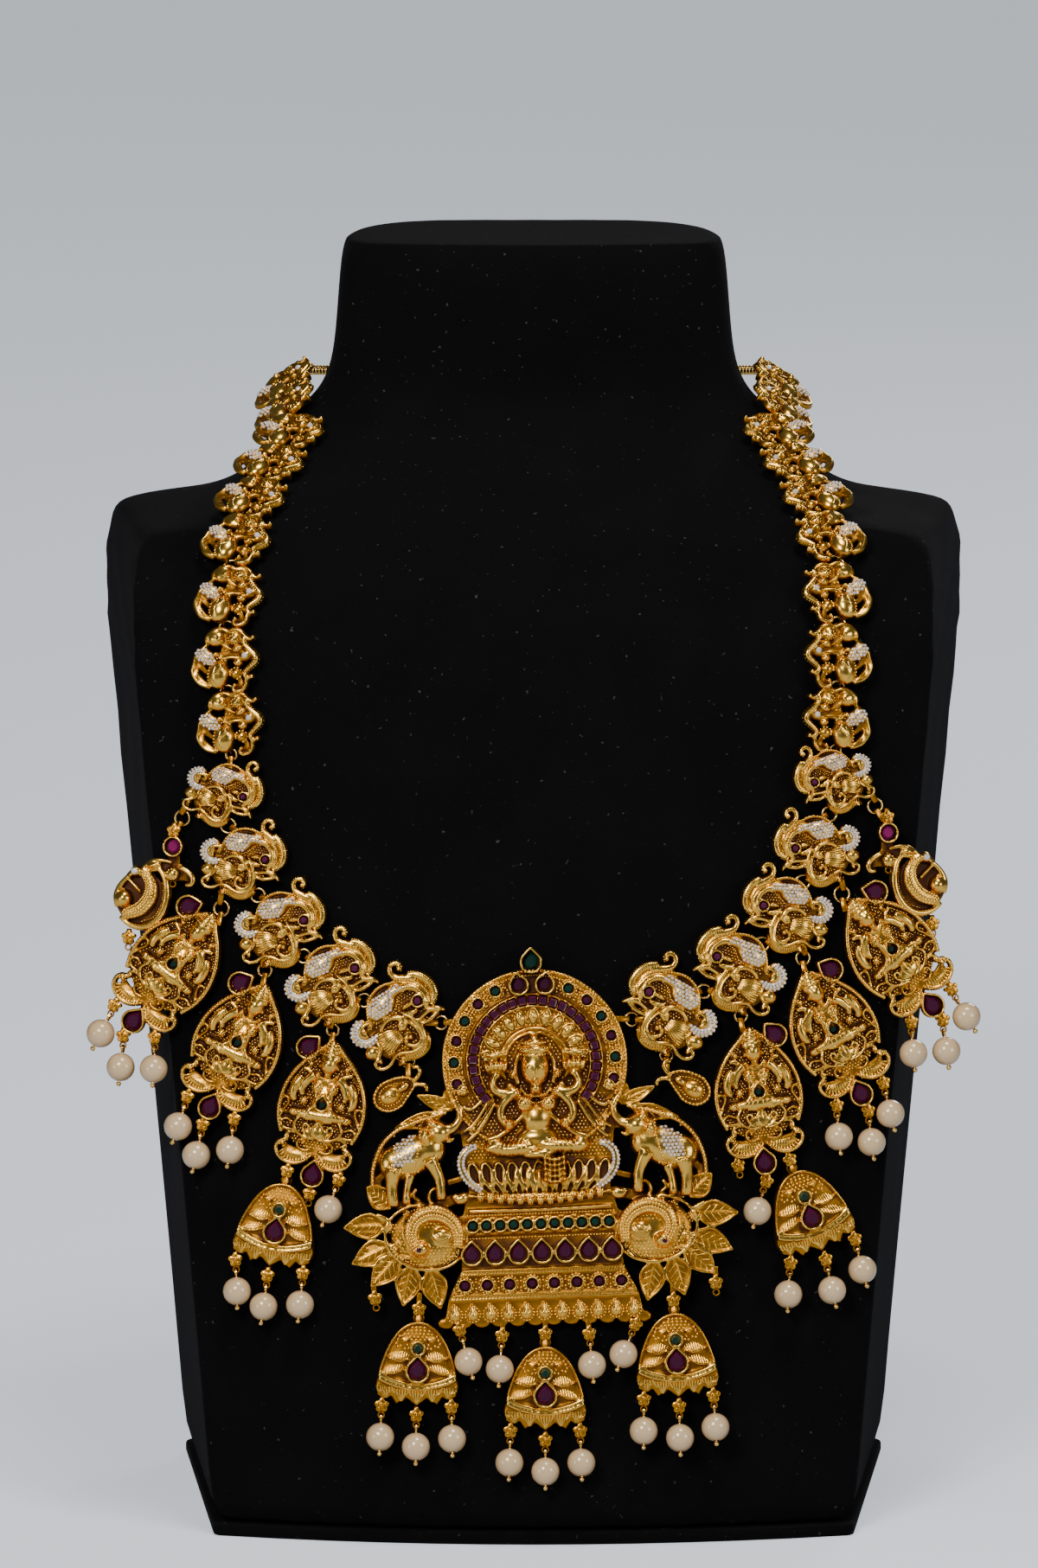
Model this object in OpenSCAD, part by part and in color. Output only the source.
// Temple jewellery necklace on a plain neck bust.
// Millimetres, Z up, front towards -Y, origin under the middle of the bust.

/* [Bust] */
// Height of the velvet body above its board
bust_height = 298; // [260:1:360]
// Width of the front panel across the shoulders
shoulder_width = 198; // [196:1:260]
// Depth from the foot of the front panel to the back of the neck
bust_depth = 168; // [150:1:190]
// Radius of the gentle roundness of the front panel
front_radius = 320; // [250:5:500]
// How far the sides open towards the back
side_flare = 8; // [3:0.5:14]
// Thickness of the base board
board_thickness = 3; // [2:0.5:6]

/* [Castings] */
// Thickness of the pierced plate behind each casting
plate = 0.9; // [0.7:0.1:1.4]
// Height of the raised relief over the back of its plate
relief = 3; // [2.2:0.1:4]
// Width of one small chain link
small_link_width = 16; // [14:0.5:18]
// Width of the fourth peacock link, which the others are graded from
peacock_width = 23.4; // [20:0.1:24]
// Width of a figure pendant
figure_width = 22.6; // [20:0.1:23]
// Width of a bell drop
bell_width = 20.5; // [18:0.1:22]
// Radius of the halo of the main pendant
halo_radius = 22.8; // [21:0.1:24]

/* [Drops and rings] */
// Diameter of a pearl
pearl_diameter = 7; // [5:0.1:7.6]
// Diameter of the head pin wire
pin_wire = 0.5; // [0.4:0.05:0.7]
// Wire of the jump rings and of the eyes that they pass through
ring_wire = 0.6; // [0.45:0.05:0.7]
// Mean diameter of a flat jump ring
ring_mean = 2.9; // [2.7:0.1:3.3]
// Thickness of the back chain
back_chain = 2.4; // [1.6:0.1:3]

/* [Stones] */
// Height of a stone over its seat
stone_height = 1.2; // [0.8:0.1:1.8]
// Wall of a stone setting
bezel_wall = 0.5; // [0.35:0.05:0.8]

/* [Fits] */
// Clearance between loose pieces
clearance = 0.12; // [0.1:0.01:0.2]

/* [Hidden] */
view_tilt = 12;
half_shoulder = shoulder_width / 2;
body_foot = board_thickness + clearance;
// How far a strap, stem or rim lies inside the faces of the plate that it runs into
inset = 0.1;
// Thickness of a soldered eye
eye_wall = 0.45;
// The origin stands this far behind the foot of the front panel
middle = 0.4894 * bust_depth;
eye_mean = 2.0;
eye_height = eye_mean / 2 + ring_wire / 2 + clearance;
plate_floor = eye_height + eye_mean / 2 - 0.2;
plate_top = plate_floor + plate;
relief_top = plate_floor + relief;

// Bust sections: height, half width of the front, front set-back, back, flare, front corner, back corner
// Heights are shares of bust_height, widths and corners of half the shoulder width, depths of bust_depth
bust_rows = [
  [0.000, 0.798, 0.004, 0.595, 1.0, 0.025, 0.03],
  [0.258, 0.869, 0.101, 0.667, 1.0, 0.025, 0.03],
  [0.493, 0.939, 0.190, 0.714, 1.0, 0.025, 0.03],
  [0.661, 0.990, 0.253, 0.756, 1.0, 0.025, 0.03],
  [0.701, 1.000, 0.268, 0.768, 1.0, 0.025, 0.03],
  [0.728, 1.000, 0.289, 0.774, 1.0, 0.030, 0.03],
  [0.755, 1.000, 0.321, 0.780, 1.0, 0.035, 0.03],
  [0.782, 0.990, 0.372, 0.792, 0.9, 0.045, 0.05],
  [0.790, 0.950, 0.395, 0.796, 0.8, 0.060, 0.08],
  [0.794, 0.830, 0.408, 0.798, 0.4, 0.080, 0.10],
  [0.805, 0.750, 0.446, 0.804, 0.2, 0.080, 0.12],
  [0.818, 0.715, 0.497, 0.815, 0.0, 0.080, 0.14],
  [0.832, 0.690, 0.560, 0.833, 0.0, 0.080, 0.15],
  [0.842, 0.662, 0.613, 0.851, 0.0, 0.080, 0.16],
  [0.852, 0.628, 0.667, 0.875, 0.0, 0.080, 0.17],
  [0.862, 0.585, 0.702, 0.899, 0.0, 0.080, 0.18],
  [0.875, 0.538, 0.723, 0.923, 0.0, 0.080, 0.20],
  [0.896, 0.508, 0.732, 0.946, 0.0, 0.085, 0.22],
  [0.929, 0.496, 0.741, 0.964, 0.0, 0.090, 0.22],
  [0.988, 0.485, 0.756, 1.000, 0.0, 0.095, 0.22],
  [1.000, 0.468, 0.768, 0.984, 0.0, 0.095, 0.22]
];

function row_z(r) = body_foot + r[0] * bust_height;
set_backs = [for (r = bust_rows) [row_z(r), r[2] * bust_depth]];
function front_y(x, z) = lookup(z, set_backs) + x * x / (2 * front_radius);

// Height at which the view plane point (u, v) meets the front of the bust
function spot_z(u, v, z, left) = left == 0 ? z
  : spot_z(u, v, (v - front_y(u, z) * sin(view_tilt)) / cos(view_tilt), left - 1);
function spot(u, v) = let (z = spot_z(u, v, v * cos(view_tilt), 16)) [u, front_y(u, z) - middle, z];
function unit(a) = a / norm(a);
function slope_z(u, z) = (front_y(u, z + 2) - front_y(u, z - 2)) / 4;
function spot_normal(u, z) = unit([u / front_radius, -1, slope_z(u, z)]);
function spot_up(n) = unit([0, 0, 1] - n[2] * n);

// Turns and moves what follows so that its Z points from point p along n and its Y along up
module set_frame(p, up, n) {
  side = cross(up, n);
  multmatrix([
    [side[0], up[0], n[0], p[0]],
    [side[1], up[1], n[1], p[1]],
    [side[2], up[2], n[2], p[2]],
    [0, 0, 0, 1]
  ])
    children();
}

// Smooth run of points [x, y, width] through a short list
function blend(a, b, c, d, t) =
  0.5 * (2 * b + (c - a) * t + (2 * a - 5 * b + 4 * c - d) * t * t + (3 * b - a - 3 * c + d) * t * t * t);
function smooth(p, n) = [
  for (i = [0 : len(p) - 2])
    for (j = [0 : (i == len(p) - 2 ? n : n - 1)])
      blend(p[max(i - 1, 0)], p[i], p[i + 1], p[min(i + 2, len(p) - 1)], j / n)
];
function flat(a) = [a[0], a[1]];
function across(s, i) = let (
    a = flat(s[max(i - 1, 0)]),
    b = flat(s[min(i + 1, len(s) - 1)]),
    d = unit(b - a)
  ) [-d[1], d[0]];

// A flat band through the points p, wider by grow
module band(p, grow = 0, n = 1) {
  s = smooth(p, n);
  last = len(s) - 1;
  polygon(concat(
    [for (i = [0 : last]) flat(s[i]) + across(s, i) * (s[i][2] + grow) / 2],
    [for (k = [0 : last]) let (i = last - k) flat(s[i]) - across(s, i) * (s[i][2] + grow) / 2]
  ));
}

module bands(list, grow = 0) {
  for (p = list)
    band(p, grow);
}

// Flat oval: centre x, y, half length, half width, turn; a nearly round one is a circle
module oval(o, grow = 0, n = 10) {
  translate([o[0], o[1]])
    if (abs(o[2] - o[3]) < 0.45)
      circle(r = (o[2] + o[3]) / 2 + grow, $fn = 24);
    else
      rotate(o[4])
        polygon([for (i = [0 : n - 1]) [(o[2] + grow) * cos(i * 360 / n), (o[3] + grow) * sin(i * 360 / n)]]);
}

module ovals(list, grow = 0, n = 10) {
  for (o = list)
    oval(o, grow, n);
}

// Outline of a pear with its point up: half width r
function pear_points(r) = concat(
  [[0, 1.5 * r]],
  [for (a = [150 : 40 : 390]) [r * cos(a), r * sin(a)]]
);

// Round cut stone with a table, resting on z = 0
module round_stone(r) {
  cylinder(r1 = r, r2 = r * 0.6, h = stone_height, $fn = 8);
}

// Pear cut stone with a table
module pear_stone(r) {
  linear_extrude(stone_height, scale = 0.62)
    polygon(pear_points(r));
}

// Open setting for a round stone: the cup that holds it
module round_bezel(r, floor_z, top_z) {
  difference() {
    translate([0, 0, floor_z + inset])
      cylinder(r = r + clearance + bezel_wall, h = top_z - floor_z - inset, $fn = 24);
    translate([0, 0, floor_z + 0.5])
      cylinder(r = r + clearance, h = top_z - floor_z, $fn = 24);
  }
}

module pear_bezel(r, floor_z, top_z) {
  difference() {
    translate([0, 0, floor_z + inset])
      linear_extrude(top_z - floor_z - inset)
        polygon(pear_points(r + clearance + bezel_wall));
    translate([0, 0, floor_z + 0.5])
      linear_extrude(top_z - floor_z)
        polygon(pear_points(r + clearance));
  }
}

module ring(mean_r, wire_r) {
  rotate_extrude($fn = 28)
    translate([mean_r, 0])
      circle(r = wire_r, $fn = 14);
}

// A slice of tube: an eye with flat sides
module slice(mean_r, wall) {
  difference() {
    cylinder(r = mean_r + wall / 2, h = wall, center = true, $fn = 20);
    cylinder(r = mean_r - wall / 2, h = 2 * wall, center = true, $fn = 20);
  }
}

// Raised flat rim on a plate: middle radius, width, height
module rim(mean_r, w, h) {
  translate([0, 0, inset])
    linear_extrude(h - inset)
      difference() {
        circle(r = mean_r + w / 2, $fn = 60);
        circle(r = mean_r - w / 2, $fn = 60);
      }
}

// Round topped bead or boss on z = 0
module boss(x, y, r, z = 0) {
  translate([x, y, z])
    sphere(r = r, $fn = 20);
}

// Chain route: view plane u, v and turn of each link from the bottom up, as it lies on the bust
chain_left = [
  [-74.2, 202.2, 4], [-75.3, 217.7, 0], [-74.5, 232.6, -4], [-72.9, 245.8, -9],
  [-69.6, 255.9, -15], [-65.0, 264.6, -16], [-60.6, 272.4, -3]
];
chain_right = [
  [74.0, 203.2, -2], [74.4, 218.7, 0], [74.1, 233.5, 4], [72.8, 246.6, 9],
  [69.6, 256.5, 15], [65.0, 265.0, 16], [60.6, 272.6, 3]
];
// The last two links lie on top of the shoulder beside the neck: place and turn, left side
chain_top = [[-60.6, 126.2, 258.9, 2], [-60.8, 141.5, 261.3, 0]];
link_pitch = 15.5;
link_eye = (link_pitch - ring_mean) / 2;

// Frame of a link: place, up and outward directions
function turned(up, n, t) = cos(t) * up - sin(t) * cross(up, n);
function front_frame(r) = let (p = spot(r[0], r[1]), n = spot_normal(r[0], p[2]))
  [p + 0.15 * n, turned(spot_up(n), n, r[2]), n];
function top_frame(r, side) = let (n = unit([0.7 * side, -0.2, 1]), up = unit([0, 1, 0.2]))
  [[-side * r[0], r[1] - middle, r[2]], turned(up, n, side * r[3]), n];
function chain_frames(rows, side) = concat(
  [for (r = rows) front_frame(r)],
  [for (r = chain_top) top_frame(r, side)]
);
frames_left = chain_frames(chain_left, -1);
frames_right = chain_frames(chain_right, 1);
function eye_spot(f, along) = f[0] + along * f[1] + eye_height * f[2];

module in_frame(f) {
  set_frame(f[0], f[1], f[2])
    children();
}

// Lays what follows on the velvet: row is view plane u, v and turn
module on_bust(row) {
  in_frame(front_frame(row))
    children();
}

// View plane point (u, v) in the plane of the casting that lies at row
function local(row, u, v) = let (d = [u - row[0], v - row[1]], c = cos(row[2]), t = sin(row[2]))
  [c * d[0] + t * d[1], c * d[1] - t * d[0]];

// Places what follows in the plane of a casting: at is view plane u, v and turn
module at_casting(row, at) {
  p = local(row, at[0], at[1]);
  on_bust(row)
    translate([p[0], p[1], 0])
      rotate([0, 0, at[2] - row[2]])
        children();
}

// Ring that joins eye point a to eye point b, lying square to n
module ring_between(a, b, n) {
  d = unit(b - a);
  up = unit(n - (n * d) * d);
  set_frame((a + b) / 2, d, up)
    ring(norm(b - a) / 2, ring_wire / 2);
}

// An eye that stands behind a casting, with its hole across the link
module standing_eye(y) {
  translate([0, y, eye_height])
    rotate([0, 90, 0])
      slice(eye_mean / 2, eye_wall);
}

// The eye of a casting at a joint, with a strap on to its plate: side is -1 below the ring, 1 above it
module joint_eye(row, j, side, strap = 3.4) {
  at_casting(row, j) {
    standing_eye(side * ring_mean / 2);
    translate([-0.7, side > 0 ? ring_mean / 2 - 0.4 : -ring_mean / 2 + 0.4 - strap, plate_floor + inset])
      cube([1.4, strap, plate - 2 * inset]);
  }
}

function joint_point(row, j, side) = let (
    f = front_frame([row[0], row[1], 0]),
    p = local([row[0], row[1], 0], j[0] - side * sin(j[2]) * ring_mean / 2, j[1] + side * cos(j[2]) * ring_mean / 2)
  ) f[0] + p[0] * cross(f[1], f[2]) + p[1] * f[1] + eye_height * f[2];

module joint_ring(low, high, j) {
  ring_between(joint_point(low, j, -1), joint_point(high, j, 1),
    front_frame([j[0], j[1], 0])[2]);
}

// Small link on a grid 17.4 wide: bands are x, y, width and ovals x, y, half length, half width, turn
small_bands = [
  [[6.2, 6.3, 1.3], [5.0, 6.2, 1.3], [4.9, 4.9, 1.3], [6.5, 3.3, 1.4], [8.0, 1.2, 1.6], [7.4, -0.6, 1.5],
   [5.9, -2.1, 1.3], [5.6, -3.4, 1.2], [6.7, -4.0, 1.2]],
  [[-3.6, 3.2, 1.2], [-6.4, 2.4, 1.2], [-8.0, -0.3, 1.3], [-8.1, -3.2, 1.3], [-6.6, -5.8, 1.2], [-4.0, -7.3, 1.0]],
  [[5.9, -4.4, 0.9], [6.0, -6.2, 1.0], [4.8, -7.4, 1.0], [3.3, -7.4, 1.0], [2.9, -6.4, 0.9]],
  [[-0.9, -2.0, 1.0], [0.2, -0.5, 1.2], [1.8, 0.3, 1.2], [3.8, 0.3, 1.0]]
];
small_ovals = [
  [-1.5, -3.9, 4.2, 3.0, 80], [-5.0, 0.5, 3.2, 2.4, -20], [-2.6, 5.2, 2.6, 2.4, 0], [2.3, 5.6, 2.4, 1.9, -30],
  [3.1, 3.1, 1.6, 1.3, 20], [3.6, -0.8, 1.6, 1.1, 0], [3.1, -3.4, 1.8, 1.8, 0], [5.4, 1.3, 1.6, 1.6, 0]
];
small_straps = [
  [[0, 6.6, 1.6], [0, 3.4, 2.4], [-0.4, 0.6, 2.2], [0, -2.6, 1.8], [0, -6.6, 1.6]],
  [[-7.4, -1.0, 1.2], [-4.6, -3.4, 1.4], [-2.0, -3.4, 1.4]],
  [[0.4, 1.0, 1.6], [3.0, 1.6, 1.6], [7.2, 1.0, 1.4]],
  [[0, -3.4, 1.4], [3.2, -3.4, 1.4], [4.6, -5.6, 1.2], [4.6, -7.2, 1.0]]
];
small_grid = 17.4;

module small_casting() {
  k = small_link_width / small_grid;
  difference() {
    translate([0, 0, plate_floor]) {
      linear_extrude(plate)
        scale(k)
          union() {
            bands(small_bands);
            ovals(small_ovals, n = 8);
            bands(small_straps);
          }
      scale(k) {
        boss(-1.5, -4.4, 2.1, relief * 0.42);
        boss(-1.1, -2.2, 1.5, relief * 0.46);
        boss(-4.6, 0.4, 1.6, relief * 0.42);
        boss(-2.6, 5.2, 1.7, relief * 0.4);
        boss(2.3, 5.6, 1.2, relief * 0.5);
        boss(5.4, 1.3, 1.1, relief * 0.5);
      }
    }
    // Flat back
    translate([0, 0, -9])
      linear_extrude(plate_floor + 9)
        square([30, 30], center = true);
  }
  for (y = [-link_eye, link_eye]) {
    standing_eye(y);
    translate([0, y - sign(y) * 0.5, plate_floor + plate / 2])
      cube([1.4, 2.2, plate - 2 * inset], center = true);
  }
}

module chain(frames, side) {
  for (f = frames)
    in_frame(f)
      mirror([side > 0 ? 1 : 0, 0, 0])
        small_casting();
}

module chain_rings(frames) {
  for (i = [0 : len(frames) - 2]) {
    a = frames[i];
    b = frames[i + 1];
    ring_between(eye_spot(a, link_eye), eye_spot(b, -link_eye), a[2] + b[2]);
  }
}

// Plain snake chain from the last link round the back of the neck
back_height = 263.9;
back_end = [-61.2, 150.4 - middle];
back_row = 158.4 - middle;
hook_gap = 6;

module back_half() {
  r = back_chain / 2;
  translate([back_end[0], back_end[1], back_height]) {
    rotate([0, 90, 0])
      ring(eye_mean / 2, ring_wire / 2);
    translate([0, eye_mean / 2, 0])
      rotate([-90, 0, 0])
        cylinder(r = ring_wire / 2 + 0.1, h = 1.2, $fn = 14);
  }
  run_y = back_end[1] + eye_mean / 2 + 0.9;
  bend = back_row - run_y;
  translate([back_end[0] + bend, run_y, back_height])
    rotate([0, 0, 90])
      rotate_extrude(angle = 90, $fn = 32)
        translate([bend, 0])
          circle(r = r, $fn = 16);
  translate([back_end[0] + bend, back_row, back_height])
    rotate([0, 90, 0])
      cylinder(r = r, h = -back_end[0] - bend - hook_gap, $fn = 16);
}

hook_mean = 1.8;

module back_chain_left() {
  color("goldenrod") {
    back_half();
    translate([0, back_row, back_height])
      rotate([0, 0, 45])
        rotate_extrude(angle = 300, $fn = 32)
          translate([hook_mean, 0])
            circle(r = ring_wire / 2, $fn = 14);
    translate([-hook_gap - 0.5, back_row, back_height])
      rotate([0, 90, 0])
        cylinder(r = ring_wire / 2 + 0.05, h = hook_gap + 0.5 - hook_mean, $fn = 14);
  }
}

module back_chain_right() {
  color("goldenrod") {
    mirror([1, 0, 0])
      back_half();
    translate([hook_mean, back_row, back_height])
      rotate([90, 0, 0])
        ring(hook_mean, ring_wire / 2);
    translate([2 * hook_mean, back_row, back_height])
      rotate([0, 90, 0])
        cylinder(r = ring_wire / 2 + 0.05, h = hook_gap + 0.5 - 2 * hook_mean, $fn = 14);
  }
}

// Joints between the larger castings: view plane u, v and the turn from the lower piece to the upper
joints_left = [
  [-74.3, 194.7, 0], [-74.8, 177.0, 57], [-67.4, 159.9, 50], [-56.2, 145.0, 57],
  [-41.4, 134.2, 75], [-22.6, 128.8, -90],
  [-86.4, 179.0, -29], [-76.4, 156.9, -10], [-65.9, 141.6, -10], [-49.2, 126.8, -10], [-30.6, 119.2, 0]
];
joints_right = [
  [73.9, 195.7, 0], [72.4, 179.9, -57], [65.8, 163.2, -50], [55.8, 148.0, -57],
  [41.6, 136.4, -75], [24.0, 129.6, 90],
  [83.9, 182.0, 32], [75.4, 160.4, 10], [66.0, 144.6, 10], [50.8, 130.4, 10], [32.4, 120.8, 0]
];

// Peacock links: view plane u, v, turn and size against the fourth one
peacocks_left = [
  [-75.5, 186.1, -20, 0.80], [-71.0, 169.5, -7, 0.88], [-62.0, 153.2, 6, 0.93],
  [-49.6, 139.7, 20, 0.97], [-33.9, 130.3, 32, 1.0]
];
peacocks_right = [
  [73.2, 189.5, 18, 0.80], [69.3, 172.5, 9, 0.88], [62.0, 156.8, -6, 0.93],
  [50.6, 142.5, -21, 0.97], [33.8, 132.7, -30, 1.0]
];

// Peacock link on a grid 24 wide
peacock_grid = 24;
peacock_bands = [
  [[4.6, 8.2, 1.5], [5.4, 7.2, 2.0], [7.6, 6.3, 2.4], [9.9, 4.5, 2.6], [11.1, 2.2, 2.4], [10.9, 0.0, 2.0], [9.6, -1.7, 1.2]],
  [[5.4, 8.0, 1.2], [4.5, 9.2, 1.3], [4.8, 10.7, 1.3], [6.1, 11.3, 1.3], [7.3, 10.5, 1.2], [7.3, 9.3, 1.0]],
  [[1.5, 4.6, 3.2], [4.5, 4.9, 2.8], [7.0, 3.8, 2.2], [8.2, 1.8, 1.8], [8.2, -0.6, 1.4]],
  [[5.9, 0.2, 1.3], [4.0, 0.5, 1.3], [2.2, 0.3, 0.7]],
  [[6.2, -1.1, 1.2], [4.4, -1.5, 1.2], [2.3, -0.7, 0.6]],
  [[-6.6, 2.2, 1.2], [-8.2, 2.8, 2.0], [-10.2, 1.7, 2.4], [-10.6, -0.2, 2.4], [-9.3, -1.9, 2.4], [-7.2, -2.0, 2.2], [-5.2, -1.2, 1.6]],
  [[-4.6, -1.2, 0.9], [-2.6, -0.2, 1.0], [-0.4, -0.4, 1.2], [1.0, -1.6, 1.2], [1.1, -3.0, 1.1], [0.1, -3.8, 1.0]],
  [[2.0, -1.0, 1.1], [3.5, -3.2, 1.2], [4.2, -5.8, 1.3], [3.8, -8.2, 1.3], [2.0, -9.6, 1.2], [-0.8, -9.5, 1.1], [-3.2, -8.6, 1.0],
   [-5.4, -8.9, 0.9]],
  [[2.9, -7.0, 0.9], [2.5, -8.0, 1.0], [1.2, -8.6, 1.0], [-0.2, -8.0, 1.0], [-0.6, -6.8, 0.9], [0.3, -5.9, 0.9]],
  [[4.4, -8.6, 1.6], [2.6, -10.6, 1.9], [0.0, -11.0, 1.9], [-2.6, -10.2, 1.7], [-4.2, -10.6, 1.3], [-4.5, -11.8, 1.0]],
  [[3.4, -3.6, 0.8], [6.0, -3.4, 1.1], [8.6, -3.4, 1.3], [10.4, -4.4, 1.0], [11.4, -5.2, 0.5]],
  [[3.6, -4.2, 0.8], [6.0, -5.0, 1.3], [8.8, -4.7, 1.3], [10.4, -4.6, 0.8]],
  [[-4.6, -8.9, 0.9], [-6.4, -9.4, 0.9], [-8.0, -9.9, 0.9], [-9.6, -9.0, 0.9], [-9.4, -7.6, 0.9], [-8.2, -7.4, 0.8]]
];
peacock_ovals = [
  [-0.8, 4.1, 5.3, 3.4, 15], [-9.0, -5.2, 2.0, 1.7, 20], [7.0, 0.2, 1.8, 1.8, 0], [-3.0, -3.9, 4.0, 3.2, -25]
];
peacock_straps = [
  [[-6.6, 0.6, 1.6], [-4.4, 1.8, 2.0], [-2.4, 2.6, 2.0]],
  [[-8.6, -2.2, 1.4], [-8.8, -4.4, 1.4]],
  [[-7.4, -5.2, 1.2], [-5.6, -5.4, 1.4], [-4.2, -4.6, 1.4]],
  [[-5.6, -8.8, 1.2], [-4.4, -6.8, 1.4], [-3.4, -4.4, 1.4]],
  [[-1.4, 2.4, 2.0], [0.2, 0.4, 2.0], [0.6, -2.0, 2.0], [0.8, -5.0, 2.0], [1.2, -7.4, 2.0], [0.6, -10.6, 1.4]],
  [[1.8, -1.0, 1.4], [4.0, -1.8, 1.4], [7.2, -2.4, 1.4], [8.4, -1.0, 1.4]],
  [[6.4, -2.0, 1.2], [6.0, -4.6, 1.2]],
  [[10.2, 3.0, 1.2], [8.6, 3.2, 1.2], [7.2, 3.2, 1.2]],
  [[-9.2, 0.4, 1.2], [-7.4, 0.2, 1.4], [-5.6, 1.2, 1.6]]
];
peacock_ribs = [
  [[-6.3, -6.4], [-1.6, -4.8]], [[-6.6, -4.6], [-1.2, -3.6]], [[-6.0, -2.8], [-1.0, -2.2]]
];
eye_stone = 1.0;

module rib(a, b, w, h) {
  d = b - a;
  translate([a[0], a[1], 0])
    rotate([0, 0, atan2(d[1], d[0])])
      translate([0, -w / 2, 0])
        cube([norm(d), w, h]);
}

// One peacock link, drawn for the left side
module peacock_casting(size) {
  k = size * peacock_width / peacock_grid;
  difference() {
    translate([0, 0, plate_floor]) {
      linear_extrude(plate)
        scale(k)
          union() {
            bands(peacock_bands);
            ovals(peacock_ovals);
            bands(peacock_straps);
          }
      translate([0, 0, inset]) {
        linear_extrude(relief * 0.55)
          scale(k)
            for (i = [0, 2, 5])
              band(peacock_bands[i], -0.4);
        linear_extrude(relief * 0.82)
          scale(k)
            union() {
              oval([-0.8, 4.1, 3.9, 2.2, 15]);
              oval([7.0, 0.2, 1.75, 1.75, 0]);
            }
        for (r = peacock_ribs)
          rib(k * r[0], k * r[1], 0.4, relief * 0.7);
      }
      scale(k) {
        boss(-2.2, 3.6, 2.4, relief * 0.3);
        boss(1.2, 4.7, 2.2, relief * 0.3);
        boss(0.2, -2.6, 1.0, relief * 0.5);
        boss(0.9, -6.6, 0.8, relief * 0.5);
        boss(-9.0, -5.2, 1.2, relief * 0.3);
        boss(-10.4, 0.2, 1.2, relief * 0.4);
      }
    }
    translate([7.0 * k, 0.2 * k, plate_floor + relief * 0.5])
      cylinder(r = eye_stone * size + clearance, h = relief, $fn = 24);
    // Flat back
    translate([0, 0, -9])
      linear_extrude(plate_floor + 9)
        square([60, 60], center = true);
  }
}

module peacock_link(row, side, eyes) {
  color("goldenrod") {
    on_bust(row)
      mirror([side > 0 ? 1 : 0, 0, 0])
        peacock_casting(row[3]);
    for (e = eyes)
      joint_eye(row, e[0], e[1]);
  }
}

module peacock_eye(row, side) {
  k = row[3] * peacock_width / peacock_grid;
  on_bust(row)
    mirror([side > 0 ? 1 : 0, 0, 0])
      translate([7.0 * k, 0.2 * k, plate_floor + relief * 0.5 + clearance])
        round_stone(eye_stone * row[3]);
}

// A flower of five petals with a bead
module flower(r = 1.9) {
  translate([0, 0, plate_floor + inset / 2]) {
    for (i = [0 : 4])
      rotate([0, 0, 72 * i + 90])
        translate([r * 0.55, 0, 0])
          cylinder(r = r * 0.44, h = plate * 1.3, $fn = 16);
    cylinder(r = r * 0.62, h = plate * 1.1, $fn = 20);
    translate([0, 0, plate * 1.1])
      sphere(r = r * 0.32, $fn = 16);
  }
}

// Flowers under a casting: view plane u, v, turn, drop, where drop is the way from the flower to the pearl
// A drop of 0 is a bare flower, and -1 carries a bell on an eye behind it
flower_eye = 2.45;
flower_stem = 2.25;
loop_mean = 1.6;
pearl_lift = pearl_diameter / 2 + 0.25;
wire_height = plate_floor + plate / 2;

module host_flowers(row, drops, stem = flower_stem) {
  for (d = drops)
    at_casting(row, d) {
      flower();
      translate([-0.6, 0, plate_floor + inset])
        cube([1.2, stem, plate - 2 * inset]);
      if (d[3] > 0)
        translate([0, -flower_eye, wire_height])
          slice(0.75, pin_wire);
      if (d[3] < 0)
        standing_eye(-1.2);
    }
}

// Moves into the line of a hanging wire: its loop at 0, 0 and the pearl below it
module wire_line(row, d) {
  run = d[3] - flower_eye - loop_mean / 2;
  rise = pearl_lift - wire_height;
  at_casting(row, d)
    translate([0, -flower_eye - loop_mean / 2, wire_height])
      rotate([-atan2(rise, run), 0, 0])
        children();
}
function wire_run(d) = norm([d[3] - flower_eye - loop_mean / 2, pearl_lift - wire_height]);

module head_pin(row, d) {
  r = pearl_diameter / 2;
  wire_line(row, d) {
    rotate([0, 90, 0])
      slice(loop_mean / 2, pin_wire);
    translate([0, -loop_mean / 2 + 0.05, 0])
      rotate([90, 0, 0])
        cylinder(r = pin_wire / 2 + 0.03, h = wire_run(d) + r + 0.7 - loop_mean / 2, $fn = 14);
    translate([0, -wire_run(d) - r - 0.6 - clearance, 0])
      sphere(r = 0.62, $fn = 16);
  }
}

module pearl(row, d) {
  r = pearl_diameter / 2;
  wire_line(row, d)
    translate([0, -wire_run(d), 0])
      difference() {
        sphere(r = r, $fn = 32);
        rotate([90, 0, 0])
          cylinder(r = pin_wire / 2 + 0.03 + clearance, h = 3 * r, center = true, $fn = 16);
      }
}

function on_row(row, x, y) = let (c = cos(row[2]), t = sin(row[2])) [row[0] + c * x - t * y, row[1] + t * x + c * y];

// Figure pendants: view plane u, v, turn
figures_left = [[-87.7, 142.8, -36], [-72.0, 123.5, -24], [-51.4, 108.2, -9]];
figures_right = [[87.1, 146.5, 37], [72.9, 126.8, 24], [54.6, 111.4, 6]];

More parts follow.
